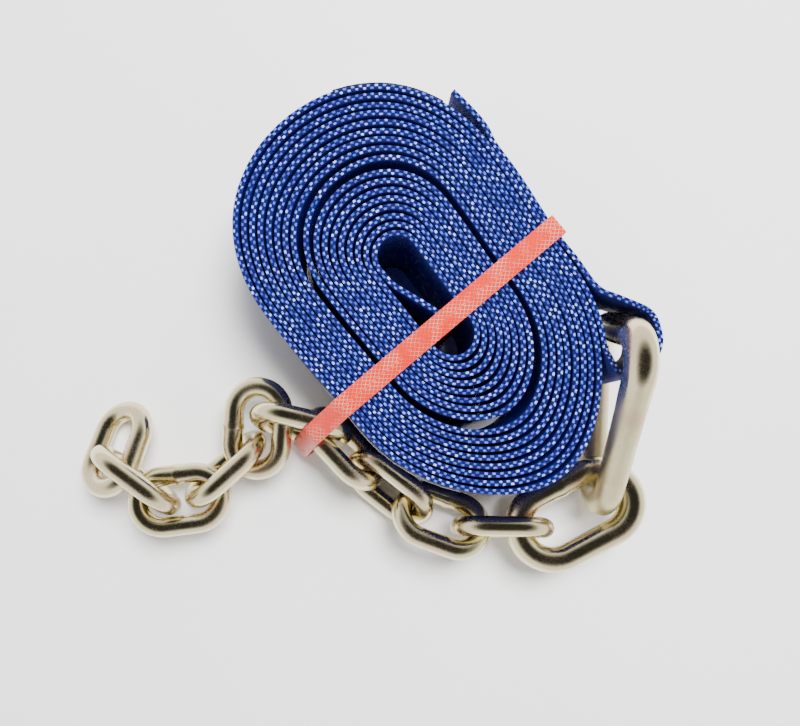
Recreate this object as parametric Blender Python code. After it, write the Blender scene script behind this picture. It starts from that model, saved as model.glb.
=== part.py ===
"""Rolled 50 mm tie-down strap with a welded chain tail. Metres, +Z up, standing on the plane z = 0.

The strap is wound on its edge into an oblong roll, held by a strapping band. Its outer end is folded
round a delta link and sewn back on itself. The delta link carries a master link and ten chain links.
"""

from math import asin, atan2, cos, exp, floor, hypot, pi, radians, sin

import bmesh
import bpy
from mathutils import Euler, Matrix, Vector

MM = 0.001
DATUM = (3.5, -47.1)  # moves the layout so that the origin is under the middle of the part

# Webbing strap, in millimetres
WEB_WIDTH = 50.0
WEB_THICK = 2.6
ROLL_CENTRE = (26.6, 65.6)
ROLL_TURN = -52.7  # degrees from +X to the roll's long axis
OUTER_END = 60.0  # where the strap leaves the roll, degrees from the long axis
INNER_END = 16 * 360.0 + 269.5  # where its other end leaves into the hole, counted on inwards
ARC_STEP = 15.0
HOLE_HALF_STRAIGHT = 20.5
HOLE_RADIUS = 9.5
ROLL_HALF_STRAIGHT = 27.3
ROLL_RADIUS = 69.4
ROLL_OVAL = 6.2  # the ends stand out further than the flanks
ROLL_EGG = 2.4  # the end by the delta link is the blunter one
BUNDLE_AT = 2980.0  # a slack turn, begun at this angle, parts the outer turns from the inner ones
BUNDLE_SLACK = 270.0  # degrees of winding that it leaves out
BUNDLE_EASE = 216.0
PINCH = 0.045  # the band pulls the flanks in by this share
PINCH_AT = 20.0
PINCH_REACH = 27.0
# The inner end crosses the hole: points along and across the roll
FREE_END = ((-12.0, -8.8), (-4.0, -5.8), (4.0, -2.6), (11.0, -0.2), (18.0, 2.0))

# The eye round the delta link: x, y, lower edge, upper edge, and how far the lower edge stands out
EYE = (
    (108.6, 37.0, 4.0, 53.0, 0.0),
    (109.6, 33.0, 9.0, 55.0, 0.0),
    (112.0, 29.6, 14.5, 55.5, 0.0),
    (116.5, 28.4, 15.5, 55.0, 0.0),
    (120.5, 30.0, 15.5, 56.0, 0.0),
    (124.3, 33.2, 15.0, 58.0, 0.0),
    (127.0, 37.8, 14.5, 59.0, 0.0),
    (128.2, 43.5, 14.5, 59.0, 3.0),
    (126.8, 50.5, 13.5, 58.5, 5.5),
    (125.0, 54.5, 12.0, 58.0, 7.5),
    (121.5, 57.5, 11.0, 57.5, 10.0),
    (112.5, 62.5, 7.0, 55.0, 7.0),
    (103.7, 68.0, 2.0, 52.0, 3.0),
    (94.3, 82.0, 0.0, 50.0, 0.0),
)
EYE_MIDDLE = (118.5, 50.0)
LAP_GAP = 0.45  # between the two plies of the lap
LAP_SIDES = (0.7, 1 / 3, -1 / 3, -1)  # where it lies on the flank, in half-straights
LAP_END = ((-43.0, 67.5), (-53.5, 67.0), (-64.6, 65.5))  # its tail, along and across the roll
STITCH_SPAN = (4.0, -36.0)  # along the roll
STITCH_ROWS = 9
STITCH_RADIUS = 0.5
STITCH_MARGIN = 6.0  # from the webbing's edges
RATING_TAG = (112.0, 161.0)  # where on the outer turn the label strip lies, degrees
CLEAR_TAG = (270.0, 310.0)
CLEAR_TAG_START = 4.0  # along the roll
TAG_THICK = 0.6
FIT = 0.3  # gap between touching pieces

# Strapping band: a loop in one upright plane. Circles it runs round: distance inwards from the tail
# of the lap, height, radius
BAND_START = (86.9, 96.6)
BAND_TURN = 40.3  # degrees from +X to the band's line
BAND_WIDTH = 10.0
BAND_THICK = 0.6
BAND_ROUND = ((1.1, 1.3, 0.9), (126.5, 1.3, 0.9), (133.5, 6.4, 6.0), (150.6, 12.2, 6.9), (145.2, 27.7, 6.4),
              (142.0, 35.3, 6.3), (126.8, 50.0, 0.9), (1.1, 50.0, 0.9))
GROOVE_DEPTH = 1.0  # the roll's lower edge gives way to the band
GROOVE_EDGES = (-8.5, -6.5, 6.5, 8.5)
SEAL_HEIGHTS = (12.0, 38.0)

# Hardware: outer length, outer width, bar diameter
CHAIN_LINK = (51.5, 35.5, 10.0)
MASTER_LINK = (71.0, 46.0, 13.0)
BAR_SIDES = 12
DELTA_LENGTH = 84.5  # of the bar's centre line, base to tip
DELTA_HALF_BASE = 30.0
DELTA_CORNER = 15.0
DELTA_TIP = 14.0
DELTA_BAR = 14.0
DELTA_FOOT = (120.0, 10.5, 0.1)
DELTA_HEADING = -92.0
DELTA_LEAN = 4.0

# Links as they lie: centre, then heading, pitch and roll in degrees. The far end of a link points to
# the next link up; roll turns it about its own length.
CHAIN = (
    (-126.0, -4.5, 14.0, -105, 15, 28),
    (-113.5, -20.0, 20.0, -38, -4, 82),
    (-92.5, -30.0, 18.5, 7, -3, -5),
    (-70.0, -14.5, 17.0, 42, 0, -69),
    (-53.5, 5.5, 20.0, 85, 6, -10),
    (-31.5, 7.0, 23.5, -13, -2, 74),
    (-10.0, -4.0, 17.0, -47, 0, -59),
    (12.0, -24.5, 16.0, -38, 2, 53),
    (38.5, -40.0, 18.5, -20, 2, -29),
    (68.5, -44.0, 18.0, -1, 1, 79),
)
MASTER = (104.0, -37.0, 21.0, 29, 4, -5)
HELD_LINK = 7  # the chain link that the band holds against the roll

BLUE = (0.012, 0.03, 0.42)
THREAD = (0.55, 0.6, 0.75)
LABEL = (0.75, 0.78, 0.85)
CLEAR = (0.72, 0.76, 0.8)
RED = (0.9, 0.07, 0.02)
ZINC = (0.83, 0.72, 0.45)


def world(x, y, z):
    """A point of the layout, in metres from the part's origin."""
    return Vector((x + DATUM[0], y + DATUM[1], z)) * MM


def from_roll(along, across):
    """Layout x and y of a point given along and across the roll's long axis."""
    turn = radians(ROLL_TURN)
    return (ROLL_CENTRE[0] + along * cos(turn) - across * sin(turn),
            ROLL_CENTRE[1] + along * sin(turn) + across * cos(turn))


def smooth(value):
    """A step from 0 to 1 with eased ends."""
    value = min(max(value, 0.0), 1.0)
    return value * value * (3.0 - 2.0 * value)


def level_at(angle):
    """How far out the winding is at an angle counted on inwards: 1 outside, 0 at the hole."""
    slack = BUNDLE_SLACK * smooth((angle - BUNDLE_AT) / BUNDLE_EASE)
    return 1.0 - (angle - OUTER_END + slack) / (INNER_END - OUTER_END + BUNDLE_SLACK)


def roll_point(angle, side, offset=0.0):
    """A point of the winding, along and across the roll; side is +1 or -1 for the end it belongs to."""
    level = level_at(angle)
    turn = radians(angle)
    half = HOLE_HALF_STRAIGHT + (ROLL_HALF_STRAIGHT - HOLE_HALF_STRAIGHT) * level
    reach = HOLE_RADIUS + (ROLL_RADIUS - HOLE_RADIUS) * level
    reach += level * (ROLL_OVAL * cos(2 * turn) + ROLL_EGG * cos(3 * turn))
    slope = -level * (2 * ROLL_OVAL * sin(2 * turn) + 3 * ROLL_EGG * sin(3 * turn))
    along = side * half + (reach + offset) * cos(turn) - slope * sin(turn)
    across = (reach + offset) * sin(turn) + slope * cos(turn)
    squeeze = 1.0 - PINCH * exp(-(((along - PINCH_AT) / PINCH_REACH) ** 2))
    return along, across * squeeze


def winding(first, last, offset=0.0):
    """Points of the winding between two angles; each straight flank gets four of them."""
    steps = range(floor(first / ARC_STEP) + 1, floor(last / ARC_STEP) + 1)
    angles = [first, *(step * ARC_STEP for step in steps if step * ARC_STEP < last - 1.0), last]
    points = []
    for angle in angles:
        if abs((angle - 90.0) % 180.0) < 0.01:
            came_from = 1 if cos(radians(angle - 1.0)) > 0.0 else -1
            points += [roll_point(angle, came_from * share, offset) for share in (1, 1 / 3, -1 / 3, -1)]
        else:
            points.append(roll_point(angle, 1 if cos(radians(angle)) > 0.0 else -1, offset))
    return points


def off_band(x, y):
    """Distance of a layout point from the band's line, positive on its left."""
    turn = radians(BAND_TURN)
    return (y - BAND_START[1]) * cos(turn) - (x - BAND_START[0]) * sin(turn)


def grooved(stations):
    """Stations of a webbing path with the band's groove let into the lower edge."""
    result = []
    for here, after in zip(stations, stations[1:] + stations[-1:]):
        result.append(here)
        near, far = off_band(*here[:2]), off_band(*after[:2])
        crossed = [edge for edge in GROOVE_EDGES if (edge - near) * (edge - far) < 0.0]
        for share in sorted((edge - near) / (far - near) for edge in crossed):
            result.append(tuple(a + (b - a) * share for a, b in zip(here, after)))
    inside = GROOVE_EDGES[2] + 0.01
    return [(x, y, low + (GROOVE_DEPTH if abs(off_band(x, y)) < inside else 0.0), high, *rest)
            for x, y, low, high, *rest in result]


def hull(circles, steps):
    """Closed outline round circles given counter-clockwise as x, y, radius."""
    def leaving(a, b):
        span = hypot(b[0] - a[0], b[1] - a[1])
        return atan2(b[1] - a[1], b[0] - a[0]) - pi / 2 + asin((a[2] - b[2]) / span)

    turns = [leaving(a, b) for a, b in zip(circles, circles[1:] + circles[:1])]
    points = []
    for (x, y, radius), start, end in zip(circles, turns[-1:] + turns[:-1], turns):
        sweep = (end - start) % (2 * pi)
        count = max(2, round(steps * sweep / pi) + 1)
        for step in range(count):
            angle = start + sweep * step / (count - 1)
            points.append((x + radius * cos(angle), y + radius * sin(angle)))
    return points


def material(name, colour, metallic, roughness):
    """A plain material of one colour."""
    result = bpy.data.materials.new(name)
    result.use_nodes = True
    shader = result.node_tree.nodes["Principled BSDF"]
    shader.inputs["Base Color"].default_value = (*colour, 1.0)
    shader.inputs["Metallic"].default_value = metallic
    shader.inputs["Roughness"].default_value = roughness
    return result


def add_object(name, data, look, at=(0.0, 0.0, 0.0)):
    """Link an object with its material and its origin at a point in metres."""
    result = bpy.data.objects.new(name, data)
    result.location = at
    data.materials.append(material(name, *look))
    bpy.context.collection.objects.link(result)
    return result


def ribbon(name, edges, thickness, look, closed=False):
    """A flat strip of even thickness between two rows of edge points."""
    shape = bmesh.new()
    rows = [(shape.verts.new(low), shape.verts.new(high)) for low, high in edges]
    pairs = zip(rows, rows[1:] + rows[:1]) if closed else zip(rows, rows[1:])
    for (low, high), (next_low, next_high) in pairs:
        shape.faces.new((low, next_low, next_high, high))
    data = bpy.data.meshes.new(name)
    shape.to_mesh(data)
    shape.free()
    result = add_object(name, data, look)
    solid = result.modifiers.new("Thickness", "SOLIDIFY")
    solid.thickness = thickness * MM
    solid.offset = 0.0
    solid.use_even_offset = True
    return result


def webbing(name, stations, thickness, look):
    """A strip of webbing on edge through stations of x, y, lower edge, upper edge and stand-off."""
    edges = []
    for x, y, low, high, stand_off in stations:
        away = Vector((x - EYE_MIDDLE[0], y - EYE_MIDDLE[1])).normalized() * stand_off
        edges.append((world(x + away.x, y + away.y, low), world(x, y, high)))
    return ribbon(name, edges, thickness, look)


def tube(name, points, radius, sides, look, at=(0.0, 0.0, 0.0), closed=True):
    """A round bar along points in metres."""
    curve = bpy.data.curves.new(name, "CURVE")
    curve.dimensions = "3D"
    curve.bevel_depth = radius * MM
    curve.bevel_resolution = sides // 2 - 2
    curve.use_fill_caps = True
    line = curve.splines.new("POLY")
    line.points.add(len(points) - 1)
    for spot, point in zip(line.points, points):
        spot.co = (*(point - Vector(at)), 1.0)
    line.use_cyclic_u = closed
    line.use_smooth = True
    return add_object(name, curve, look, at)


def link_outline(length, width, bar):
    """Centre line of a link in its own plane, long side along x."""
    reach = (width - bar) / 2
    centre = (length - width) / 2
    return hull([(-centre, 0.0, reach), (centre, 0.0, reach)], 8)


def link_turn(heading, pitch, roll):
    """Turn that lays a link with its length along x and its width along y as given."""
    about_z = Matrix.Rotation(radians(heading), 3, "Z")
    about_y = Matrix.Rotation(-radians(pitch), 3, "Y")
    about_x = Matrix.Rotation(radians(roll), 3, "X")
    return about_z @ about_y @ about_x


def link_point(place, along, across):
    """Point in metres of a link laid at a place, along and across its own length."""
    return world(*place[:3]) + link_turn(*place[3:]) @ Vector((along, across, 0.0)) * MM


def link_end(place, size, far):
    """Middle of the bar at a link's far or near end, in metres."""
    reach = (size[0] - size[2]) / 2
    return link_point(place, reach if far else -reach, 0.0)


def delta_point(along, across):
    """Point in metres of the delta link, from its middle towards the tip and across it.

    It is turned in its own plane until one leg lies level.
    """
    run = DELTA_LENGTH - DELTA_CORNER - DELTA_TIP
    rise = DELTA_HALF_BASE - DELTA_CORNER
    dip = atan2(rise, run) + asin((DELTA_CORNER - DELTA_TIP) / hypot(run, rise))
    corner = (DELTA_CORNER - DELTA_LENGTH / 2, DELTA_CORNER - DELTA_HALF_BASE)
    height = DELTA_BAR / 2 + DELTA_CORNER - (corner[1] * cos(dip) - corner[0] * sin(dip))
    forward = along * cos(dip) + across * sin(dip)
    upward = across * cos(dip) - along * sin(dip) + height
    heading, lean = radians(DELTA_HEADING), radians(DELTA_LEAN)
    ahead = Vector((cos(heading), sin(heading), 0.0))
    side = Vector((-sin(heading), cos(heading), 0.0))
    up = Vector((0.0, 0.0, cos(lean))) - side * sin(lean)
    return world(*DELTA_FOOT) + (ahead * forward + up * upward) * MM


def build_roll():
    """The main run of the strap."""
    stations = [(*from_roll(*point), 0.0, WEB_WIDTH, 0.0)
                for point in winding(OUTER_END, INNER_END) + [*FREE_END]]
    webbing("strap_roll", grooved(stations), WEB_THICK, (BLUE, 0.0, 0.6))


def lap_line():
    """The sewn-back end of the strap along the roll's flank: points along and across the roll."""
    return [roll_point(90.0, side, WEB_THICK + LAP_GAP) for side in LAP_SIDES] + [*LAP_END]


def build_eye():
    """The outer end of the strap: round the delta link and back along the roll."""
    start, inner = (Vector(from_roll(*roll_point(OUTER_END + turn, 1))) for turn in (0.0, 3.0))
    start += (start - inner).normalized() * FIT * 1.5
    stations = [(*start, 0.0, WEB_WIDTH, 0.0), *EYE]
    stations += [(*from_roll(*point), 0.0, WEB_WIDTH, 0.0) for point in lap_line()]
    webbing("strap_eye", grooved(stations), WEB_THICK, (BLUE, 0.0, 0.6))


def build_stitching():
    """One thread to and fro over the lap, on its outer face."""
    line = lap_line()
    out = WEB_THICK / 2 + FIT + STITCH_RADIUS
    points = []
    for row in range(STITCH_ROWS):
        along = STITCH_SPAN[0] + (STITCH_SPAN[1] - STITCH_SPAN[0]) * row / (STITCH_ROWS - 1)
        here, after = next(pair for pair in zip(line, line[1:]) if pair[1][0] <= along)
        across = here[1] + (after[1] - here[1]) * (here[0] - along) / (here[0] - after[0]) + out
        heights = (STITCH_MARGIN, WEB_WIDTH - STITCH_MARGIN)
        for height in heights if row % 2 == 0 else heights[::-1]:
            points.append(world(*from_roll(along, across), height))
    tube("lap_stitching", points, STITCH_RADIUS, 8, (THREAD, 0.0, 0.7), closed=False)


def build_tags():
    """The label strip and the clear tag, both against the outer turn."""
    off = WEB_THICK / 2 + FIT + TAG_THICK / 2
    label = [(*from_roll(*point), 1.0, 49.0, 0.0) for point in winding(*RATING_TAG, off)]
    webbing("rating_tag", label, TAG_THICK, (LABEL, 0.0, 0.5))
    clear = [point for point in winding(*CLEAR_TAG, off) if point[0] > CLEAR_TAG_START]
    clear = [(*from_roll(*point), 35.0, 46.0, 0.0) for point in clear]
    webbing("clear_tag", clear, TAG_THICK, (CLEAR, 0.0, 0.2))


def band_point(inwards, height, beside):
    """Point in metres in the band's plane; beside is the distance to the left of it."""
    turn = radians(BAND_TURN)
    return world(BAND_START[0] - inwards * cos(turn) - beside * sin(turn),
                 BAND_START[1] - inwards * sin(turn) + beside * cos(turn), height)


def build_band():
    """The band round roll and chain, and its sealed overlap."""
    half = BAND_WIDTH / 2
    loop = hull(list(BAND_ROUND), 8)
    edges = [(band_point(*point, -half), band_point(*point, half)) for point in loop]
    ribbon("retaining_band", edges, BAND_THICK, (RED, 0.0, 0.35), closed=True)
    out = -BAND_THICK - FIT
    edges = [(band_point(out, height, -half), band_point(out, height, half)) for height in SEAL_HEIGHTS]
    ribbon("band_seal", edges, BAND_THICK, (RED, 0.0, 0.35))


def build_chain():
    """The links, each with its origin on the bar that it swings about."""
    outline = link_outline(*CHAIN_LINK)
    for number, place in enumerate(CHAIN, 1):
        points = [link_point(place, *point) for point in outline]
        if number < HELD_LINK:
            hinge = link_end(CHAIN[number], CHAIN_LINK, False)
        elif number > HELD_LINK:
            hinge = link_end(CHAIN[number - 2], CHAIN_LINK, True)
        else:
            hinge = world(*place[:3])
        tube(f"chain_link_{number:02d}", points, CHAIN_LINK[2] / 2, BAR_SIDES, (ZINC, 1.0, 0.35), hinge)
    points = [link_point(MASTER, *point) for point in link_outline(*MASTER_LINK)]
    tube("master_link", points, MASTER_LINK[2] / 2, BAR_SIDES, (ZINC, 1.0, 0.35),
         delta_point(DELTA_LENGTH / 2, 0.0))


def build_delta():
    """The delta link, with its origin on its base bar."""
    back = DELTA_CORNER - DELTA_LENGTH / 2
    side = DELTA_HALF_BASE - DELTA_CORNER
    circles = [(back, -side, DELTA_CORNER), (DELTA_LENGTH / 2 - DELTA_TIP, 0.0, DELTA_TIP),
               (back, side, DELTA_CORNER)]
    points = [delta_point(*point) for point in hull(circles, 10)]
    tube("delta_link", points, DELTA_BAR / 2, BAR_SIDES, (ZINC, 1.0, 0.3),
         delta_point(-DELTA_LENGTH / 2, 0.0))


def main():
    """Build the whole part."""
    for old in list(bpy.data.objects):
        bpy.data.objects.remove(old, do_unlink=True)
    build_roll()
    build_eye()
    build_stitching()
    build_tags()
    build_band()
    build_delta()
    build_chain()


main()
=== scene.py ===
"""Rolled 50 mm tie-down strap with a welded chain tail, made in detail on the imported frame."""

from math import asin, atan2, cos, exp, floor, hypot, pi, radians, sin

import bmesh
import bpy
import numpy as np
from mathutils import Matrix, Vector

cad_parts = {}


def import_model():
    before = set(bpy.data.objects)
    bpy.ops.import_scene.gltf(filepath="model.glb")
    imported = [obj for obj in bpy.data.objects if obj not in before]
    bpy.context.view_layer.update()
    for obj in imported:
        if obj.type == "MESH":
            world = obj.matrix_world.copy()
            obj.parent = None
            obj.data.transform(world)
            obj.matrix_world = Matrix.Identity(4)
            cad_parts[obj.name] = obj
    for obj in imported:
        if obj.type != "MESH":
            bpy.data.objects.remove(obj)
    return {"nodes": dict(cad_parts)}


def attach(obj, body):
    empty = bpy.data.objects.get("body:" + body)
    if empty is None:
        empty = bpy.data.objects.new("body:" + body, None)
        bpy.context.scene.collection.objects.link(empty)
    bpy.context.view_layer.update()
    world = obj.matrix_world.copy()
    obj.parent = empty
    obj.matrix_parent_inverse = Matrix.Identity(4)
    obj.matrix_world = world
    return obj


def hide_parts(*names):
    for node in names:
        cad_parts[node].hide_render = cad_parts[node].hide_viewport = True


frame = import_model()

bl_info = {
    "name": "Tie-down strap with chain tail",
    "version": (1, 0, 0),
    "blender": (4, 5, 0),
    "location": "3D View > Sidebar > Tie-down",
    "description": "Builds a rolled truck tie-down strap, its hardware and its stage",
    "category": "Object",
}

MM = 0.001
DATUM = (3.5, -47.1)  # mm, the layout's shift to the part's own origin

# Winding of the webbing, mm and degrees, as in the CAD
WEB_THICK = 2.6
ROLL_CENTRE = (26.6, 65.6)
ROLL_TURN = -52.7
OUTER_END = 60.0
INNER_END = 16 * 360.0 + 269.5
ARC_STEP = 5.0
FLANK_STEPS = 12
HOLE_HALF_STRAIGHT = 20.5
HOLE_RADIUS = 9.5
ROLL_HALF_STRAIGHT = 27.3
ROLL_RADIUS = 69.4
ROLL_OVAL = 6.2
ROLL_EGG = 2.4
BUNDLE_AT = 2980.0
BUNDLE_SLACK = 270.0
BUNDLE_EASE = 216.0
PINCH = 0.045
PINCH_AT = 20.0
PINCH_REACH = 27.0
FREE_END = ((-12.0, -8.8), (-4.0, -5.8), (4.0, -2.6), (11.0, -0.2), (18.0, 2.0))
EYE = (  # x, y, lower edge, upper edge, stand-off of the lower edge
    (108.6, 37.0, 4.0, 53.0, 0.0),
    (109.6, 33.0, 9.0, 55.0, 0.0),
    (112.0, 29.6, 14.5, 55.5, 0.0),
    (116.5, 28.4, 15.5, 55.0, 0.0),
    (120.5, 30.0, 15.5, 56.0, 0.0),
    (124.3, 33.2, 15.0, 58.0, 0.0),
    (127.0, 37.8, 14.5, 59.0, 0.0),
    (128.2, 43.5, 14.5, 59.0, 3.0),
    (126.8, 50.5, 13.5, 58.5, 5.5),
    (125.0, 54.5, 12.0, 58.0, 7.5),
    (121.5, 57.5, 11.0, 57.5, 10.0),
    (112.5, 62.5, 7.0, 55.0, 7.0),
    (103.7, 68.0, 2.0, 52.0, 3.0),
    (94.3, 82.0, 0.0, 50.0, 0.0),
)
EYE_MIDDLE = (118.5, 50.0)
EDGE_WAVES = ((0.3, 0.021), (0.15, 0.17))  # height and rate of the upper edge's unevenness
EDGE_DROP = 0.45
LAP_GAP = 0.45
LAP_SIDES = (0.7, 1 / 3, -1 / 3, -1)
LAP_END = ((-43.0, 67.5), (-53.5, 67.0), (-64.6, 65.5))
STITCH_SPAN = (4.0, -36.0)
STITCH_ROWS = 9
STITCHES = 10
STITCH_MARGIN = 6.0
STITCH_OUT = 0.4
STITCH_FILL = 0.46  # half a stitch's length, as a share of the pitch
RATING_TAG = (112.0, 161.0)  # degrees on the outer turn
RATING_TAG_HEIGHTS = (1.0, 49.0)
CLEAR_TAG = (270.0, 310.0)
CLEAR_TAG_START = 4.0
CLEAR_TAG_HEIGHTS = (35.0, 46.0)
TAG_THICK = 0.6
FIT = 0.3

# Strapping band: circles it runs round, as distance inwards, height, radius
BAND_START = (86.9, 96.6)
BAND_TURN = 40.3
BAND_ROUND = ((1.1, 1.3, 0.9), (126.5, 1.3, 0.9), (133.5, 6.4, 6.0), (150.6, 12.2, 6.9),
              (145.2, 27.7, 6.4), (142.0, 35.3, 6.3), (126.8, 50.0, 0.9), (1.1, 50.0, 0.9))
BAND_STEPS = 8  # points for each radian of a bend
BAND_THICK = 0.6
GROOVE_DEPTH = 1.0
GROOVE_HALF = 8.5
SEAL_HEIGHTS = (12.0, 38.0)
SEAL_STEPS = 12

# Hardware
BAR_SIDES = 32
BEND_STEPS = 20
DELTA_LENGTH = 84.5
DELTA_HALF_BASE = 30.0
DELTA_CORNER = 15.0
DELTA_TIP = 14.0
DELTA_CUTS = 8  # along each side
MATT_FROM = -22.0  # along the delta link
MATT_EASE = 14.0
MATT_FLATTENED = 0.07
HELD_LINK = 7  # the chain link that the band holds
WELDED = (3, 5, 7, 9)  # links with their weld on the outer side
LINKS = 10
# Sections along a straight side: share of its length, share of the bar's diameter
WELD = ((0.34, 1.0), (0.42, 1.05), (0.5, 1.09), (0.58, 1.05), (0.66, 1.0), (1.0, 1.0))
PLAIN = ((1.0, 1.0),)

# Surface patterns, in radians or turns per metre
RIBS, WARP = 4200.0, 2900.0
DIAMONDS_ACROSS, DIAMONDS_ALONG = 450.0, 380.0
THREAD_LAY = (7000.0, 3500.0)
LABEL_RIBS = 9000.0
LABEL_GIRTH = 0.0486  # metres over one face of the label, edge to edge

# Stage, in metres
FLOOR_HALF = 3.0
KEY_AT = (0.35, 0.5, 1.3)
KEY_POWER = 60.0
KEY_SIZE = 0.7
SKY_STRENGTH = 1.6
CAMERA_AT = (0.0035, -0.0471, 0.312)
LENS = 26.37
SENSOR = 36.0
SHIFT = (0.044, 0.096)


def length(name, about, default):
    """A size that a user can change, in metres."""
    return bpy.props.FloatProperty(name=name, description=about, default=default,
                                   min=0.0001, unit="LENGTH")


def colour(name, about, default):
    """A colour that a user can change."""
    return bpy.props.FloatVectorProperty(name=name, description=about, default=default,
                                         subtype="COLOR", size=3, min=0.0, max=1.0)


class TieDownSizes(bpy.types.PropertyGroup):
    """Sizes of the strap and its hardware."""

    web_width: length("Webbing width", "Width of the webbing", 0.05)
    web_thickness: length("Webbing thickness", "Thickness of the webbing", 0.0026)
    fleck_spacing: length("Fleck spacing", "Distance between pale flecks on the selvedge", 0.0036)
    band_width: length("Band width", "Width of the strapping band", 0.01)
    link_length: length("Link length", "Outer length of a chain link", 0.0515)
    link_width: length("Link width", "Outer width of a chain link", 0.0355)
    link_bar: length("Link bar", "Bar diameter of a chain link", 0.01)
    master_length: length("Master length", "Outer length of the master link", 0.071)
    master_width: length("Master width", "Outer width of the master link", 0.046)
    master_bar: length("Master bar", "Bar diameter of the master link", 0.013)
    delta_bar: length("Delta bar", "Bar diameter of the delta link", 0.014)
    thread: length("Thread", "Thickness of the sewing thread", 0.0011)


class TieDownColours(bpy.types.PropertyGroup):
    """Colours of the strap, its hardware and the stage."""

    webbing: colour("Webbing", "Blue of the woven polyester", (0.0015, 0.006, 0.17))
    fleck: colour("Flecks", "Pale yarn on the selvedge", (0.07, 0.12, 0.62))
    zinc: colour("Zinc", "Yellow-passivated zinc plating", (0.74, 0.66, 0.40))
    zinc_tint: colour("Zinc tint", "Rosy patches of the plating", (0.72, 0.58, 0.38))
    strapping: colour("Strapping", "Orange-red plastic band", (0.72, 0.018, 0.003))
    thread: colour("Thread", "Pale sewing thread", (0.5, 0.56, 0.75))
    label: colour("Label", "Woven label strip", (0.74, 0.77, 0.85))
    film: colour("Film", "Clear plastic sleeve", (0.8, 0.84, 0.9))
    floor: colour("Floor", "Pale floor", (1.0, 1.0, 1.0))


# Paths ------------------------------------------------------------------------------------------

def world(x, y, z):
    """A point of the layout, in metres from the part's origin."""
    return Vector((x + DATUM[0], y + DATUM[1], z)) * MM


def from_roll(along, across):
    """Layout x and y of a point given along and across the roll's long axis."""
    turn = radians(ROLL_TURN)
    return (ROLL_CENTRE[0] + along * cos(turn) - across * sin(turn),
            ROLL_CENTRE[1] + along * sin(turn) + across * cos(turn))


def smooth(value):
    """A step from 0 to 1 with eased ends."""
    value = min(max(value, 0.0), 1.0)
    return value * value * (3.0 - 2.0 * value)


def level_at(angle):
    """How far out the winding is at an angle counted on inwards: 1 outside, 0 at the hole."""
    slack = BUNDLE_SLACK * smooth((angle - BUNDLE_AT) / BUNDLE_EASE)
    return 1.0 - (angle - OUTER_END + slack) / (INNER_END - OUTER_END + BUNDLE_SLACK)


def roll_point(angle, side, offset=0.0):
    """A point of the winding, along and across the roll; side is its place between the two ends."""
    level = level_at(angle)
    turn = radians(angle)
    half = HOLE_HALF_STRAIGHT + (ROLL_HALF_STRAIGHT - HOLE_HALF_STRAIGHT) * level
    reach = HOLE_RADIUS + (ROLL_RADIUS - HOLE_RADIUS) * level
    reach += level * (ROLL_OVAL * cos(2 * turn) + ROLL_EGG * cos(3 * turn))
    slope = -level * (2 * ROLL_OVAL * sin(2 * turn) + 3 * ROLL_EGG * sin(3 * turn))
    along = side * half + (reach + offset) * cos(turn) - slope * sin(turn)
    across = (reach + offset) * sin(turn) + slope * cos(turn)
    return along, across * (1.0 - PINCH * exp(-(((along - PINCH_AT) / PINCH_REACH) ** 2)))


def winding(first, last, offset=0.0):
    """Points of the winding between two angles."""
    steps = range(floor(first / ARC_STEP) + 1, floor(last / ARC_STEP) + 1)
    angles = [first, *(step * ARC_STEP for step in steps if step * ARC_STEP < last - 1.0), last]
    points = []
    for angle in angles:
        if abs((angle - 90.0) % 180.0) < 0.01:
            came_from = 1 if cos(radians(angle - 1.0)) > 0.0 else -1
            shares = (1.0 - 2.0 * step / FLANK_STEPS for step in range(FLANK_STEPS + 1))
            points += [roll_point(angle, came_from * share, offset) for share in shares]
        else:
            points.append(roll_point(angle, 1 if cos(radians(angle)) > 0.0 else -1, offset))
    return points


def lap_line():
    """The sewn-back end of the strap along the roll's flank: points along and across the roll."""
    return [roll_point(90.0, side, WEB_THICK + LAP_GAP) for side in LAP_SIDES] + [*LAP_END]


def smoothed(points, steps):
    """A rounder path through the same points."""
    points = [np.array(point) for point in points]
    ends = [2 * points[0] - points[1], *points, 2 * points[-1] - points[-2]]
    result = []
    for a, b, c, d in zip(ends, ends[1:], ends[2:], ends[3:]):
        for step in range(steps):
            t = step / steps
            result.append(tuple(0.5 * (2 * b + (c - a) * t + (2 * a - 5 * b + 4 * c - d) * t * t
                                       + (3 * b - a - 3 * c + d) * t ** 3)))
    return result + [tuple(points[-1])]


def strap_edges(width):
    """Lower and upper edge points of the whole strap, from its end in the hole to the lap's tail."""
    wound = [(*from_roll(*point), 0.0, width, 0.0) for point in winding(OUTER_END, INNER_END)]
    free = [(*from_roll(*point), 0.0, width, 0.0) for point in FREE_END]
    lap = [(*from_roll(*point), 0.0, width, 0.0) for point in lap_line()]
    path = smoothed([*free[::-1], *wound[:-4:-1]], 4)
    path += wound[-4:2:-1]
    path += smoothed([wound[2], wound[1], wound[0], *EYE, *lap], 5)
    turn = radians(BAND_TURN)
    edges = []
    for step, (x, y, low, high, stand_off) in enumerate(path):
        beside = (y - BAND_START[1]) * cos(turn) - (x - BAND_START[0]) * sin(turn)
        low += GROOVE_DEPTH * smooth((GROOVE_HALF + 1.0 - abs(beside)) / 2.0)
        high += sum(rise * sin(step * rate) for rise, rate in EDGE_WAVES) - EDGE_DROP
        away = Vector((x - EYE_MIDDLE[0], y - EYE_MIDDLE[1])).normalized() * stand_off
        edges.append((world(x + away.x, y + away.y, low), world(x, y, high)))
    return edges


def leaving(a, b):
    """Direction, from a circle's middle, at which a line round circles a and b leaves a."""
    span = hypot(b[0] - a[0], b[1] - a[1])
    return atan2(b[1] - a[1], b[0] - a[0]) - pi / 2 + asin((a[2] - b[2]) / span)


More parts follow.
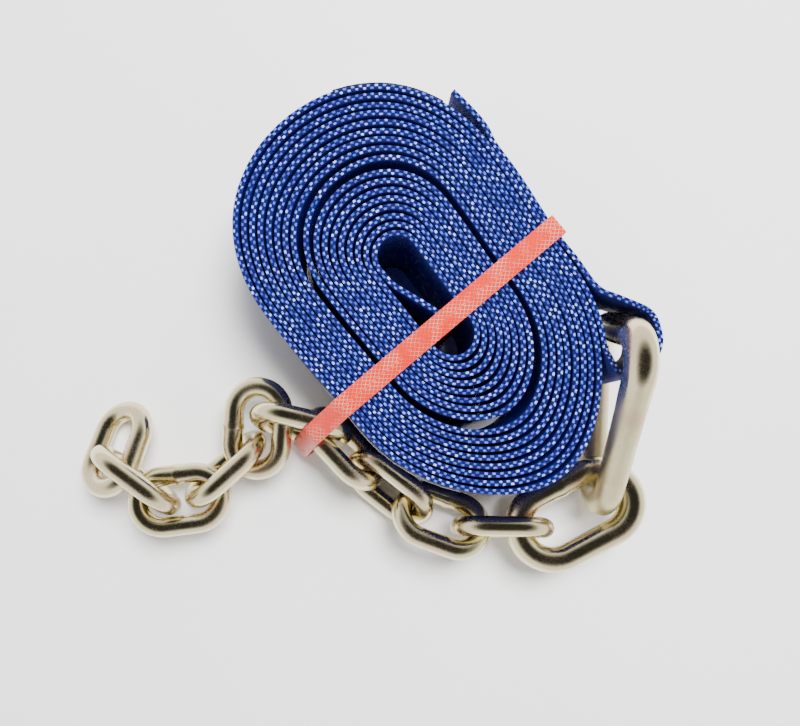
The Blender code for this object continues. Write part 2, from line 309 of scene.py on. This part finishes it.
def arcs(circles):
    """Circles given counter-clockwise, each with the angles where its arc starts and ends."""
    ends = [leaving(a, b) for a, b in zip(circles, circles[1:] + circles[:1])]
    return [(*circle, start, start + (end - start) % (2 * pi))
            for circle, start, end in zip(circles, ends[-1:] + ends[:-1], ends)]


def band_point(inwards, height, beside):
    """Point in metres in the band's plane; beside is the distance to the left of it."""
    turn = radians(BAND_TURN)
    return world(BAND_START[0] - inwards * cos(turn) - beside * sin(turn),
                 BAND_START[1] - inwards * sin(turn) + beside * cos(turn), height)


# Meshes -----------------------------------------------------------------------------------------

def add(name, shape, look, slot, body, *nodes):
    """Make an object of a mesh, give it its material and let it stand for CAD nodes on a body."""
    bmesh.ops.recalc_face_normals(shape, faces=shape.faces)
    data = bpy.data.meshes.new(name)
    shape.to_mesh(data)
    shape.free()
    data.materials.append(look)
    result = bpy.data.objects.new(name, data)
    bpy.context.scene.collection.objects.link(result)
    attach(result, body)
    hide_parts(*nodes)
    return result


def web_section(thickness):
    """Section of webbing with two cords along each selvedge: share of height, mm up, mm out, cord."""
    radius = thickness / MM / 4
    angles = [radians(angle) for angle in (0, 38, 76, 114, 150)]
    top = [(1, radius * (sin(a) - 1), radius * (1 + cos(a)), sin(a)) for a in angles]
    top += [(1, up, -out, -cord) for _, up, out, cord in top[::-1]]
    low = [(0, -up, out, cord) for _, up, out, cord in top[::-1]]
    side = 2 * radius - 0.08
    return [(0.5, 0, side, 0), (1, -3, side, 0), *top, (1, -3, -side, 0),
            (0.5, 0, -side, 0), (0, 3, -side, 0), *low, (0, 3, side, 0)]


def flat_section(thickness):
    """Section of a thin flat strip with eased edges."""
    half, ease = thickness / 2, thickness / 4
    return [(0.5, 0, half, 0), (1, -ease, half, 0), (1, 0, ease, 0), (1, 0, -ease, 0),
            (1, -ease, -half, 0), (0.5, 0, -half, 0), (0, ease, -half, 0), (0, 0, -ease, 0),
            (0, 0, ease, 0), (0, ease, half, 0)]


def strip(edges, section, closed=False):
    """A strip that follows lower and upper edge points, with lengths in metres as its UVs."""
    if closed:
        edges = [*edges, edges[0]]
    rows, around = len(edges), len(section)
    shape = bmesh.new()
    uv = shape.loops.layers.uv.new("UVMap")
    cord = shape.verts.layers.float.new("cord")
    bmesh.ops.create_grid(shape, x_segments=rows - 1, y_segments=around, size=0.5)
    if len(shape.verts) != rows * (around + 1):
        raise RuntimeError("the strip's grid has the wrong number of points")
    run, frames = [0.0], []
    for here, (low, high) in enumerate(edges):
        before = edges[here - 1] if here else edges[-2] if closed else edges[0]
        after = edges[here + 1] if here < rows - 1 else edges[1] if closed else edges[-1]
        up = (high - low).normalized()
        ahead = after[0] + after[1] - before[0] - before[1]
        frames.append((low, high - low, up, ahead.cross(up).normalized()))
        if here:
            run.append(run[-1] + (low + high - before[0] - before[1]).length / 2)
    tall = frames[0][1].length / MM
    flat = [(share * tall + up, out) for share, up, out, _ in [*section, section[0]]]
    girth = [0.0]
    for a, b in zip(flat, flat[1:]):
        girth.append(girth[-1] + hypot(b[0] - a[0], b[1] - a[1]) * MM)
    for point in shape.verts:
        i = round((point.co.x + 0.5) * (rows - 1))
        j = round((point.co.y + 0.5) * around)
        for loop in point.link_loops:
            loop[uv].uv = (run[i], girth[j])
        low, rise, up, out = frames[i]
        share, lift, away, row = section[j % around]
        point.co = low + rise * share + (up * lift + out * away) * MM
        point[cord] = row
    for face in shape.faces:
        face.smooth = True
    bmesh.ops.remove_doubles(shape, verts=shape.verts, dist=1e-6)
    open_edges = [edge for edge in shape.edges if edge.is_boundary]
    if open_edges:
        bmesh.ops.holes_fill(shape, edges=open_edges, sides=0)
    return shape


def bent_bar(circles, bar, straights):
    """A closed loop of round bar bent round circles in millimetres, lying flat about the origin."""
    shape = bmesh.new()
    bends = arcs([tuple(value * MM for value in circle) for circle in circles])
    x, y, radius, start, _ = bends[0]
    place = Matrix.Translation((x + radius * cos(start), y + radius * sin(start), 0.0))
    place = place @ Matrix.Rotation(start, 4, "Z") @ Matrix.Rotation(pi / 2, 4, "X")
    bmesh.ops.create_circle(shape, cap_ends=False, radius=bar / 2, segments=BAR_SIDES, matrix=place)
    ring = list(shape.edges)
    for (x, y, radius, start, end), after, pieces in zip(bends, bends[1:] + bends[:1], straights):
        points = {point for edge in ring for point in edge.verts}
        made = bmesh.ops.spin(shape, geom=[*points, *ring], cent=(x, y, 0.0), axis=(0.0, 0.0, 1.0),
                              angle=end - start, steps=BEND_STEPS)
        ring = [item for item in made["geom_last"] if isinstance(item, bmesh.types.BMEdge)]
        here = Vector((x + radius * cos(end), y + radius * sin(end), 0.0))
        there = Vector((after[0] + after[2] * cos(after[3]), after[1] + after[2] * sin(after[3]), 0.0))
        done, size = 0.0, 1.0
        for share, swell in pieces:
            made = bmesh.ops.extrude_edge_only(shape, edges=ring)["geom"]
            points = [item for item in made if isinstance(item, bmesh.types.BMVert)]
            ring = [item for item in made if isinstance(item, bmesh.types.BMEdge)
                    and all(point in points for point in item.verts)]
            bmesh.ops.translate(shape, verts=points, vec=(there - here) * (share - done))
            about = Matrix.Translation(-(here + (there - here) * share))
            bmesh.ops.scale(shape, verts=points, vec=(swell / size,) * 3, space=about)
            done, size = share, swell
    bmesh.ops.remove_doubles(shape, verts=shape.verts, dist=1e-5)
    if any(edge.is_boundary for edge in shape.edges):
        raise RuntimeError("a bar loop did not close")
    for face in shape.faces:
        face.smooth = True
    return shape


def lie_of(node, ahead=None):
    """Place of a link as its CAD node lies: long side along x, width along y."""
    points = np.array([point.co for point in frame["nodes"][node].data.vertices])
    middle = points.mean(0)
    axes = np.linalg.svd(points - middle, full_matrices=False)[2]
    spans = (points - middle) @ axes.T
    centre = middle + (spans.min(0) + spans.max(0)) / 2 @ axes
    along, across = axes[0], axes[1]
    if ahead is not None and along @ (np.array(ahead) - centre) < 0:
        along = -along
    if across[1] < 0:
        across = -across
    turn = Matrix((along, across, np.cross(along, across))).transposed()
    return Matrix.Translation(centre) @ turn.to_4x4()


def oblong(long, wide, bar):
    """Circles that a link's bar is bent round, in millimetres."""
    reach, centre = (wide - bar) / 2 / MM, (long - wide) / 2 / MM
    return [(-centre, 0.0, reach), (centre, 0.0, reach)]


# Materials --------------------------------------------------------------------------------------

def put(tree, kind, *values, **settings):
    """Add a shader node, set it and feed its inputs in order; None leaves an input alone."""
    made = tree.nodes.new("ShaderNode" + kind)
    for key, value in settings.items():
        setattr(made, key, value)
    for socket, value in zip(made.inputs, values):
        if isinstance(value, bpy.types.NodeSocket):
            tree.links.new(value, socket)
        elif value is not None:
            socket.default_value = value
    return made


def calc(tree, operation, *values):
    """One step of arithmetic on shader values."""
    return put(tree, "Math", *values, operation=operation).outputs[0]


def ranged(tree, value, low, high, to_low=0.0, to_high=1.0):
    """A value mapped with eased ends from one range to another."""
    return put(tree, "MapRange", value, low, high, to_low, to_high,
               interpolation_type="SMOOTHSTEP").outputs[0]


def blend(tree, share, a, b):
    """Colour a turned into colour b by a share."""
    made = put(tree, "Mix", data_type="RGBA")
    for name, value in (("Factor_Float", share), ("A_Color", a), ("B_Color", b)):
        socket = next(item for item in made.inputs if item.identifier == name)
        if isinstance(value, bpy.types.NodeSocket):
            tree.links.new(value, socket)
        else:
            socket.default_value = value
    return next(item for item in made.outputs if item.identifier == "Result_Color")


def speckle(tree, scale, detail=3.0):
    """Noise over the object, about 0.5."""
    spot = put(tree, "TexCoord").outputs["Object"]
    return put(tree, "TexNoise", spot, None, scale, detail).outputs["Fac"]


def effect(name, takes, gives, build):
    """A node group built once: build gets the tree and its inputs and returns the outputs' sockets."""
    tree = bpy.data.node_groups.get(name)
    if tree:
        return tree
    tree = bpy.data.node_groups.new(name, "ShaderNodeTree")
    for label, kind in takes:
        tree.interface.new_socket(name=label, in_out="INPUT", socket_type="NodeSocket" + kind)
    for label, kind in gives:
        tree.interface.new_socket(name=label, in_out="OUTPUT", socket_type="NodeSocket" + kind)
    start = tree.nodes.new("NodeGroupInput")
    end = tree.nodes.new("NodeGroupOutput")
    for socket, made in zip(end.inputs, build(tree, *[item for item in start.outputs if item.name])):
        tree.links.new(made, socket)
    return tree


SURFACE = (("Color", "Color"), ("Roughness", "Float"), ("Height", "Float"))


def lengths(tree):
    """UV lengths along and round a strip, in metres."""
    split = put(tree, "SeparateXYZ", put(tree, "UVMap", uv_map="UVMap").outputs[0])
    return split.outputs[0], split.outputs[1]


def weave(tree, base, fleck, spacing):
    """Blue webbing: ribbed faces, and two staggered rows of pale flecks along each selvedge."""
    run, girth = lengths(tree)
    cord = put(tree, "Attribute", attribute_name="cord").outputs["Fac"]
    stagger = calc(tree, "MULTIPLY", calc(tree, "GREATER_THAN", cord, 0.0), 0.5)
    patch = speckle(tree, 160.0)
    phase = calc(tree, "ADD", calc(tree, "DIVIDE", run, spacing), stagger)
    phase = calc(tree, "ADD", phase, calc(tree, "MULTIPLY", patch, 0.5))
    apart = calc(tree, "ABSOLUTE", calc(tree, "SUBTRACT", calc(tree, "FRACT", phase), 0.5))
    dot = ranged(tree, apart, 0.1, 0.3, 1.0, 0.0)
    row = ranged(tree, calc(tree, "ABSOLUTE", cord), 0.25, 0.7)
    spot = calc(tree, "MULTIPLY", dot, row)
    pale = calc(tree, "MULTIPLY", spot, ranged(tree, patch, 0.3, 0.62, 0.35, 1.0))
    ribs = calc(tree, "SINE", calc(tree, "MULTIPLY", run, RIBS))
    warp = calc(tree, "SINE", calc(tree, "MULTIPLY", girth, WARP))
    cloth = calc(tree, "MULTIPLY", ribs, warp)
    shade = ranged(tree, cloth, -1.0, 1.0, 0.45, 1.0)
    dark = blend(tree, shade, (0.001, 0.003, 0.06, 1.0), base)
    gap = calc(tree, "MULTIPLY", row, calc(tree, "SUBTRACT", 1.0, dot))
    dark = blend(tree, calc(tree, "MULTIPLY", gap, 0.72), dark, (0.001, 0.002, 0.035, 1.0))
    height = calc(tree, "ADD", calc(tree, "MULTIPLY", spot, 0.7), calc(tree, "MULTIPLY", cloth, 0.3))
    glint = ranged(tree, speckle(tree, 420.0), 0.45, 0.65)
    core = calc(tree, "MULTIPLY", calc(tree, "POWER", pale, 3.0), glint)
    tone = blend(tree, core, blend(tree, pale, dark, fleck), (0.62, 0.68, 0.95, 1.0))
    return tone, ranged(tree, patch, 0.3, 0.7, 0.6, 0.85), height


def plating(tree, base, tint):
    """Yellow zinc on bent bar: cloudy tint, dull patches and fine drawn marks."""
    cloud, grain = speckle(tree, 55.0), speckle(tree, 900.0, 6.0)
    matt = put(tree, "Attribute", attribute_name="matt").outputs["Fac"]
    tone = blend(tree, ranged(tree, cloud, 0.42, 0.66), base, tint)
    tone = blend(tree, ranged(tree, grain, 0.6, 0.72, 0.0, 0.35), tone, (0.42, 0.36, 0.25, 1.0))
    gloss = ranged(tree, cloud, 0.3, 0.7, 0.14, 0.26)
    rough = calc(tree, "ADD", gloss, calc(tree, "MULTIPLY", matt, 0.22))
    return tone, calc(tree, "ADD", rough, ranged(tree, grain, 0.4, 0.7, 0.0, 0.08)), grain


def emboss(tree, base):
    """Plastic strapping with a raised diamond pattern and a painted highlight on the diamonds' ridges.
    """
    run, girth = lengths(tree)
    across = calc(tree, "MULTIPLY", girth, DIAMONDS_ACROSS)
    ahead = calc(tree, "MULTIPLY", run, DIAMONDS_ALONG)
    slants = [calc(tree, "FRACT", calc(tree, way, ahead, across)) for way in ("ADD", "SUBTRACT")]
    waves = [calc(tree, "ABSOLUTE", calc(tree, "SUBTRACT", slant, 0.5)) for slant in slants]
    raised = ranged(tree, calc(tree, "MINIMUM", *waves), 0.06, 0.16)  # 0 on a diamond's sides
    highlight_and_gloss_noise = speckle(tree, 120.0)
    ridge = calc(tree, "SUBTRACT", 1.0, raised)
    # Painted highlight: the diamonds' ridges are coloured pale pink, in patches set by the noise.
    ridge_highlight = calc(tree, "MULTIPLY", ridge, ranged(tree, highlight_and_gloss_noise, 0.35, 0.65, 0.1, 0.75))
    tone = blend(tree, ridge_highlight, base, (0.85, 0.35, 0.25, 1.0))
    return tone, ranged(tree, highlight_and_gloss_noise, 0.3, 0.7, 0.24, 0.42), ridge


def twist(tree, base):
    """Sewing thread with its lay, and painted shade in the lay's grooves."""
    split = put(tree, "SeparateXYZ", put(tree, "TexCoord").outputs["Object"])
    slant = calc(tree, "ADD", calc(tree, "MULTIPLY", split.outputs[2], THREAD_LAY[0]),
                 calc(tree, "MULTIPLY", split.outputs[0], THREAD_LAY[1]))
    lay = ranged(tree, calc(tree, "SINE", slant), -1.0, 1.0)
    # Painted shade: the thread is coloured dark blue where its lay is low.
    return blend(tree, lay, (0.12, 0.15, 0.3, 1.0), base), ranged(tree, lay, 0.0, 1.0, 0.8, 0.55), lay


def ribbed(tree, base):
    """Woven label strip: fine ribs, a little soil and dark bound edges."""
    run, girth = lengths(tree)
    ribs = calc(tree, "MULTIPLY", calc(tree, "SINE", calc(tree, "MULTIPLY", run, LABEL_RIBS)),
                calc(tree, "SINE", calc(tree, "MULTIPLY", girth, LABEL_RIBS)))
    soil = speckle(tree, 90.0)
    tone = blend(tree, ranged(tree, soil, 0.45, 0.75, 0.0, 0.35), base, (0.45, 0.5, 0.68, 1.0))
    folded = calc(tree, "PINGPONG", girth, LABEL_GIRTH)
    inner = calc(tree, "ABSOLUTE", calc(tree, "SUBTRACT", folded, LABEL_GIRTH / 2))
    tone = blend(tree, ranged(tree, inner, 0.0015, 0.0025, 1.0, 0.0), tone, (0.008, 0.012, 0.008, 1.0))
    return tone, ranged(tree, soil, 0.3, 0.7, 0.45, 0.65), ribs


def wrinkles(tree, base):
    """Clear film, cloudy where it is creased."""
    crease = speckle(tree, 140.0, 5.0)
    tone = blend(tree, crease, base, (0.95, 0.97, 1.0, 1.0))
    return tone, ranged(tree, crease, 0.3, 0.7, 0.06, 0.3), crease


def paper(tree, base):
    """Floor with the faintest unevenness."""
    cloud = speckle(tree, 12.0)
    tone = blend(tree, cloud, base, (0.9, 0.9, 0.9, 1.0))
    return tone, ranged(tree, cloud, 0.3, 0.7, 0.7, 0.9), cloud


def make_material(name, build, tints, raised=0.0, reach=0.0002, numbers=(), **constants):
    """A material of one shared effect: tints and numbers feed it, constants go on the shader."""
    result = bpy.data.materials.get(name + " finish")
    if result:
        return result
    result = bpy.data.materials.new(name + " finish")
    result.use_nodes = True
    tree = result.node_tree
    shader = tree.nodes["Principled BSDF"]
    takes = [(f"Colour {number}", "Color") for number in range(1, len(tints) + 1)]
    takes += [(f"Size {number}", "Float") for number in range(1, len(numbers) + 1)]
    source = tree.nodes.new("ShaderNodeGroup")
    source.node_tree = effect(name + " surface", takes, SURFACE, build)
    for socket, value in zip(source.inputs, [(*tint, 1.0) for tint in tints] + list(numbers)):
        socket.default_value = value
    tree.links.new(source.outputs["Color"], shader.inputs["Base Color"])
    tree.links.new(source.outputs["Roughness"], shader.inputs["Roughness"])
    if raised:
        bump = tree.nodes.new("ShaderNodeBump")
        bump.inputs["Strength"].default_value = raised
        bump.inputs["Distance"].default_value = reach
        tree.links.new(source.outputs["Height"], bump.inputs["Height"])
        tree.links.new(bump.outputs["Normal"], shader.inputs["Normal"])
    for label, value in constants.items():
        shader.inputs[label.replace("_", " ")].default_value = value
    return result


def zinc():
    """The plating that every link shares."""
    looks = bpy.context.scene.tie_down_colours
    tints = (looks.zinc, looks.zinc_tint)
    return make_material("yellow_zinc", plating, tints, 0.25, 0.00008, Metallic=1.0)


# Operators --------------------------------------------------------------------------------------

class TIEDOWN_OT_webbing(bpy.types.Operator):
    """Wind the webbing: roll, eye and sewn-back lap in one length"""

    bl_idname = "tiedown.webbing"
    bl_label = "Webbing"

    def execute(self, context):
        sizes, looks = context.scene.tie_down_sizes, context.scene.tie_down_colours
        shape = strip(strap_edges(sizes.web_width / MM), web_section(sizes.web_thickness))
        look = make_material("webbing", weave, (looks.webbing, looks.fleck), 0.9, 0.0005,
                             (sizes.fleck_spacing,))
        add("webbing_strap", shape, look, "webbing", "strap", "strap_roll", "strap_eye")
        return {"FINISHED"}


class TIEDOWN_OT_stitching(bpy.types.Operator):
    """Sew rows of stitches through the lap"""

    bl_idname = "tiedown.stitching"
    bl_label = "Lap stitching"

    def execute(self, context):
        sizes, looks = context.scene.tie_down_sizes, context.scene.tie_down_colours
        line, shape = lap_line(), bmesh.new()
        pitch = (sizes.web_width / MM - 2 * STITCH_MARGIN) / STITCHES
        for row in range(STITCH_ROWS):
            along = STITCH_SPAN[0] + (STITCH_SPAN[1] - STITCH_SPAN[0]) * row / (STITCH_ROWS - 1)
            here, after = next(pair for pair in zip(line, line[1:]) if pair[1][0] <= along)
            across = here[1] + (after[1] - here[1]) * (here[0] - along) / (here[0] - after[0])
            x, y = from_roll(along, across + sizes.web_thickness / MM / 2 + STITCH_OUT)
            for number in range(STITCHES):
                place = Matrix.Translation(world(x, y, STITCH_MARGIN + (number + 0.5) * pitch))
                radius = sizes.thread / 2
                half = Matrix.Diagonal((radius, radius, pitch * STITCH_FILL * MM, 1.0))
                bmesh.ops.create_icosphere(shape, subdivisions=2, radius=1.0, matrix=place @ half)
        for face in shape.faces:
            face.smooth = True
        look = make_material("thread", twist, (looks.thread,), 0.6)
        add("lap_stitches", shape, look, "thread", "strap", "lap_stitching")
        return {"FINISHED"}


class TIEDOWN_OT_tags(bpy.types.Operator):
    """Lay the label strip and the clear tag against the outer turn"""

    bl_idname = "tiedown.tags"
    bl_label = "Tags"

    def execute(self, context):
        looks = context.scene.tie_down_colours
        off = context.scene.tie_down_sizes.web_thickness / MM / 2 + FIT + TAG_THICK / 2
        points = [from_roll(*point) for point in winding(*RATING_TAG, off)]
        edges = [tuple(world(*point, height) for height in RATING_TAG_HEIGHTS) for point in points]
        look = make_material("label", ribbed, (looks.label,), 0.4)
        shape = strip(edges, flat_section(TAG_THICK))
        label = add("label_strip", shape, look, "label", "strap", "rating_tag")
        points = [from_roll(*point) for point in winding(*CLEAR_TAG, off) if point[0] > CLEAR_TAG_START]
        edges = [tuple(world(*point, height) for height in CLEAR_TAG_HEIGHTS) for point in points]
        look = make_material("clear_film", wrinkles, (looks.film,), 0.3, Alpha=0.45, Coat_Weight=0.5)
        shape = strip(edges, flat_section(TAG_THICK))
        clear = add("film_tag", shape, look, "clear_film", "strap", "clear_tag")
        return {"FINISHED"}


class TIEDOWN_OT_band(bpy.types.Operator):
    """Strap the roll and the chain together with the embossed band"""

    bl_idname = "tiedown.band"
    bl_label = "Strapping band"

    def execute(self, context):
        sizes, looks = context.scene.tie_down_sizes, context.scene.tie_down_colours
        half = sizes.band_width / MM / 2
        loop = []
        for x, y, radius, start, end in arcs(list(BAND_ROUND)):
            count = max(3, round((end - start) * BAND_STEPS))
            angles = [start + (end - start) * step / (count - 1) for step in range(count)]
            loop += [(x + radius * cos(angle), y + radius * sin(angle)) for angle in angles]
        edges = [(band_point(*point, -half), band_point(*point, half)) for point in loop]
        look = make_material("strapping", emboss, (looks.strapping,), 0.8, 0.0004, Coat_Weight=0.25)
        section = flat_section(BAND_THICK)
        shape = strip(edges, section, closed=True)
        add("band_loop", shape, look, "strapping", "strap", "retaining_band")
        out = -BAND_THICK - FIT
        heights = [SEAL_HEIGHTS[0] + (SEAL_HEIGHTS[1] - SEAL_HEIGHTS[0]) * step / SEAL_STEPS
                   for step in range(SEAL_STEPS + 1)]
        edges = [(band_point(out, height, -half), band_point(out, height, half)) for height in heights]
        add("band_overlap", strip(edges, section), look, "strapping", "strap", "band_seal")
        return {"FINISHED"}


class TIEDOWN_OT_delta(bpy.types.Operator):
    """Bend the delta link, dull and slightly flattened towards its tip"""

    bl_idname = "tiedown.delta"
    bl_label = "Delta link"

    def execute(self, context):
        sizes = context.scene.tie_down_sizes
        back, side = DELTA_CORNER - DELTA_LENGTH / 2, DELTA_HALF_BASE - DELTA_CORNER
        circles = [(back, -side, DELTA_CORNER), (DELTA_LENGTH / 2 - DELTA_TIP, 0.0, DELTA_TIP),
                   (back, side, DELTA_CORNER)]
        cuts = tuple((step / DELTA_CUTS, 1.0) for step in range(1, DELTA_CUTS + 1))
        shape = bent_bar(circles, sizes.delta_bar, [cuts] * 3)
        matt = shape.verts.layers.float.new("matt")
        for point in shape.verts:
            worn = smooth((point.co.x / MM - MATT_FROM) / MATT_EASE)
            point[matt] = worn
            point.co.z *= 1.0 - MATT_FLATTENED * worn
        master = frame["nodes"]["master_link"].data.vertices
        shape.transform(lie_of("delta_link", np.mean([point.co for point in master], axis=0)))
        add("delta_bar", shape, zinc(), "yellow_zinc", "delta", "delta_link")
        return {"FINISHED"}


class TIEDOWN_OT_chain(bpy.types.Operator):
    """Bend the master link and the chain links, each where its CAD node lies"""

    bl_idname = "tiedown.chain"
    bl_label = "Master link and chain"

    def execute(self, context):
        sizes = context.scene.tie_down_sizes
        circles = oblong(sizes.master_length, sizes.master_width, sizes.master_bar)
        shape = bent_bar(circles, sizes.master_bar, [PLAIN, WELD])
        shape.transform(lie_of("master_link"))
        add("master_bar", shape, zinc(), "yellow_zinc", "master", "master_link")
        circles = oblong(sizes.link_length, sizes.link_width, sizes.link_bar)
        for number in range(1, LINKS + 1):
            shape = bent_bar(circles, sizes.link_bar, [PLAIN, WELD if number in WELDED else PLAIN])
            node = f"chain_link_{number:02d}"
            shape.transform(lie_of(node))
            body = "strap" if number == HELD_LINK else f"link_{number:02d}"
            add(f"link_bar_{number:02d}", shape, zinc(), "yellow_zinc", body, node)
        return {"FINISHED"}


class TIEDOWN_OT_stage(bpy.types.Operator):
    """Set the floor, the light and the camera"""

    bl_idname = "tiedown.stage"
    bl_label = "Stage"

    def execute(self, context):
        scene = context.scene
        shape = bmesh.new()
        bmesh.ops.create_grid(shape, x_segments=8, y_segments=8, size=FLOOR_HALF)
        data = bpy.data.meshes.new("floor")
        shape.to_mesh(data)
        shape.free()
        data.materials.append(make_material("floor", paper, (scene.tie_down_colours.floor,)))
        floor_object = bpy.data.objects.new("floor", data)
        scene.collection.objects.link(floor_object)

        lamp = bpy.data.lights.new("key", "AREA")
        lamp.energy, lamp.size = KEY_POWER, KEY_SIZE
        key = bpy.data.objects.new("key", lamp)
        key.location = KEY_AT
        key.rotation_euler = (-key.location).to_track_quat("-Z", "Y").to_euler()
        key.visible_glossy = False
        scene.collection.objects.link(key)

        sky = bpy.data.worlds.new("studio")
        sky.use_nodes = True
        tree = sky.node_tree
        height = put(tree, "SeparateXYZ", put(tree, "TexCoord").outputs["Generated"]).outputs[2]
        ramp = put(tree, "ValToRGB", height)
        stops = ramp.color_ramp.elements
        stops[0].position, stops[0].color = 0.0, (1.0, 1.0, 1.0, 1.0)
        stops[1].position, stops[1].color = 0.86, (0.02, 0.02, 0.022, 1.0)
        for position, value in ((0.5, 1.0), (0.68, 0.3)):
            stops.new(position).color = (value, value, value * 1.01, 1.0)
        ground = tree.nodes["Background"]
        tree.links.new(ramp.outputs[0], ground.inputs["Color"])
        ground.inputs["Strength"].default_value = SKY_STRENGTH
        scene.world = sky

        view = bpy.data.cameras.new("camera")
        view.lens, view.sensor_width, view.clip_start = LENS, SENSOR, 0.01
        view.shift_x, view.shift_y = SHIFT
        camera = bpy.data.objects.new("camera", view)
        camera.location = CAMERA_AT
        scene.collection.objects.link(camera)
        scene.camera = camera
        return {"FINISHED"}


class TIEDOWN_PT_panel(bpy.types.Panel):
    """Buttons for every group of pieces"""

    bl_idname = "TIEDOWN_PT_panel"
    bl_label = "Tie-down strap"
    bl_space_type = "VIEW_3D"
    bl_region_type = "UI"
    bl_category = "Tie-down"

    def draw(self, context):
        for operator in OPERATORS:
            self.layout.operator(operator.bl_idname)
        for group in (context.scene.tie_down_sizes, context.scene.tie_down_colours):
            for name in group.bl_rna.properties.keys():
                if name not in ("rna_type", "name"):
                    self.layout.prop(group, name)


OPERATORS = (TIEDOWN_OT_webbing, TIEDOWN_OT_stitching, TIEDOWN_OT_tags, TIEDOWN_OT_band,
             TIEDOWN_OT_delta, TIEDOWN_OT_chain, TIEDOWN_OT_stage)
CLASSES = (TieDownSizes, TieDownColours, *OPERATORS, TIEDOWN_PT_panel)


def register():
    """Make the operators, the panel and the settings known."""
    for item in CLASSES:
        bpy.utils.register_class(item)
    bpy.types.Scene.tie_down_sizes = bpy.props.PointerProperty(type=TieDownSizes)
    bpy.types.Scene.tie_down_colours = bpy.props.PointerProperty(type=TieDownColours)


def unregister():
    """Take the operators, the panel and the settings away again."""
    del bpy.types.Scene.tie_down_colours
    del bpy.types.Scene.tie_down_sizes
    for item in reversed(CLASSES):
        bpy.utils.unregister_class(item)


def main():
    """Build every piece and the stage."""
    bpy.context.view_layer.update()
    register()
    bpy.ops.tiedown.webbing()
    bpy.ops.tiedown.stitching()
    bpy.ops.tiedown.tags()
    bpy.ops.tiedown.band()
    bpy.ops.tiedown.delta()
    bpy.ops.tiedown.chain()
    bpy.ops.tiedown.stage()


if __name__ == "__main__":
    main()
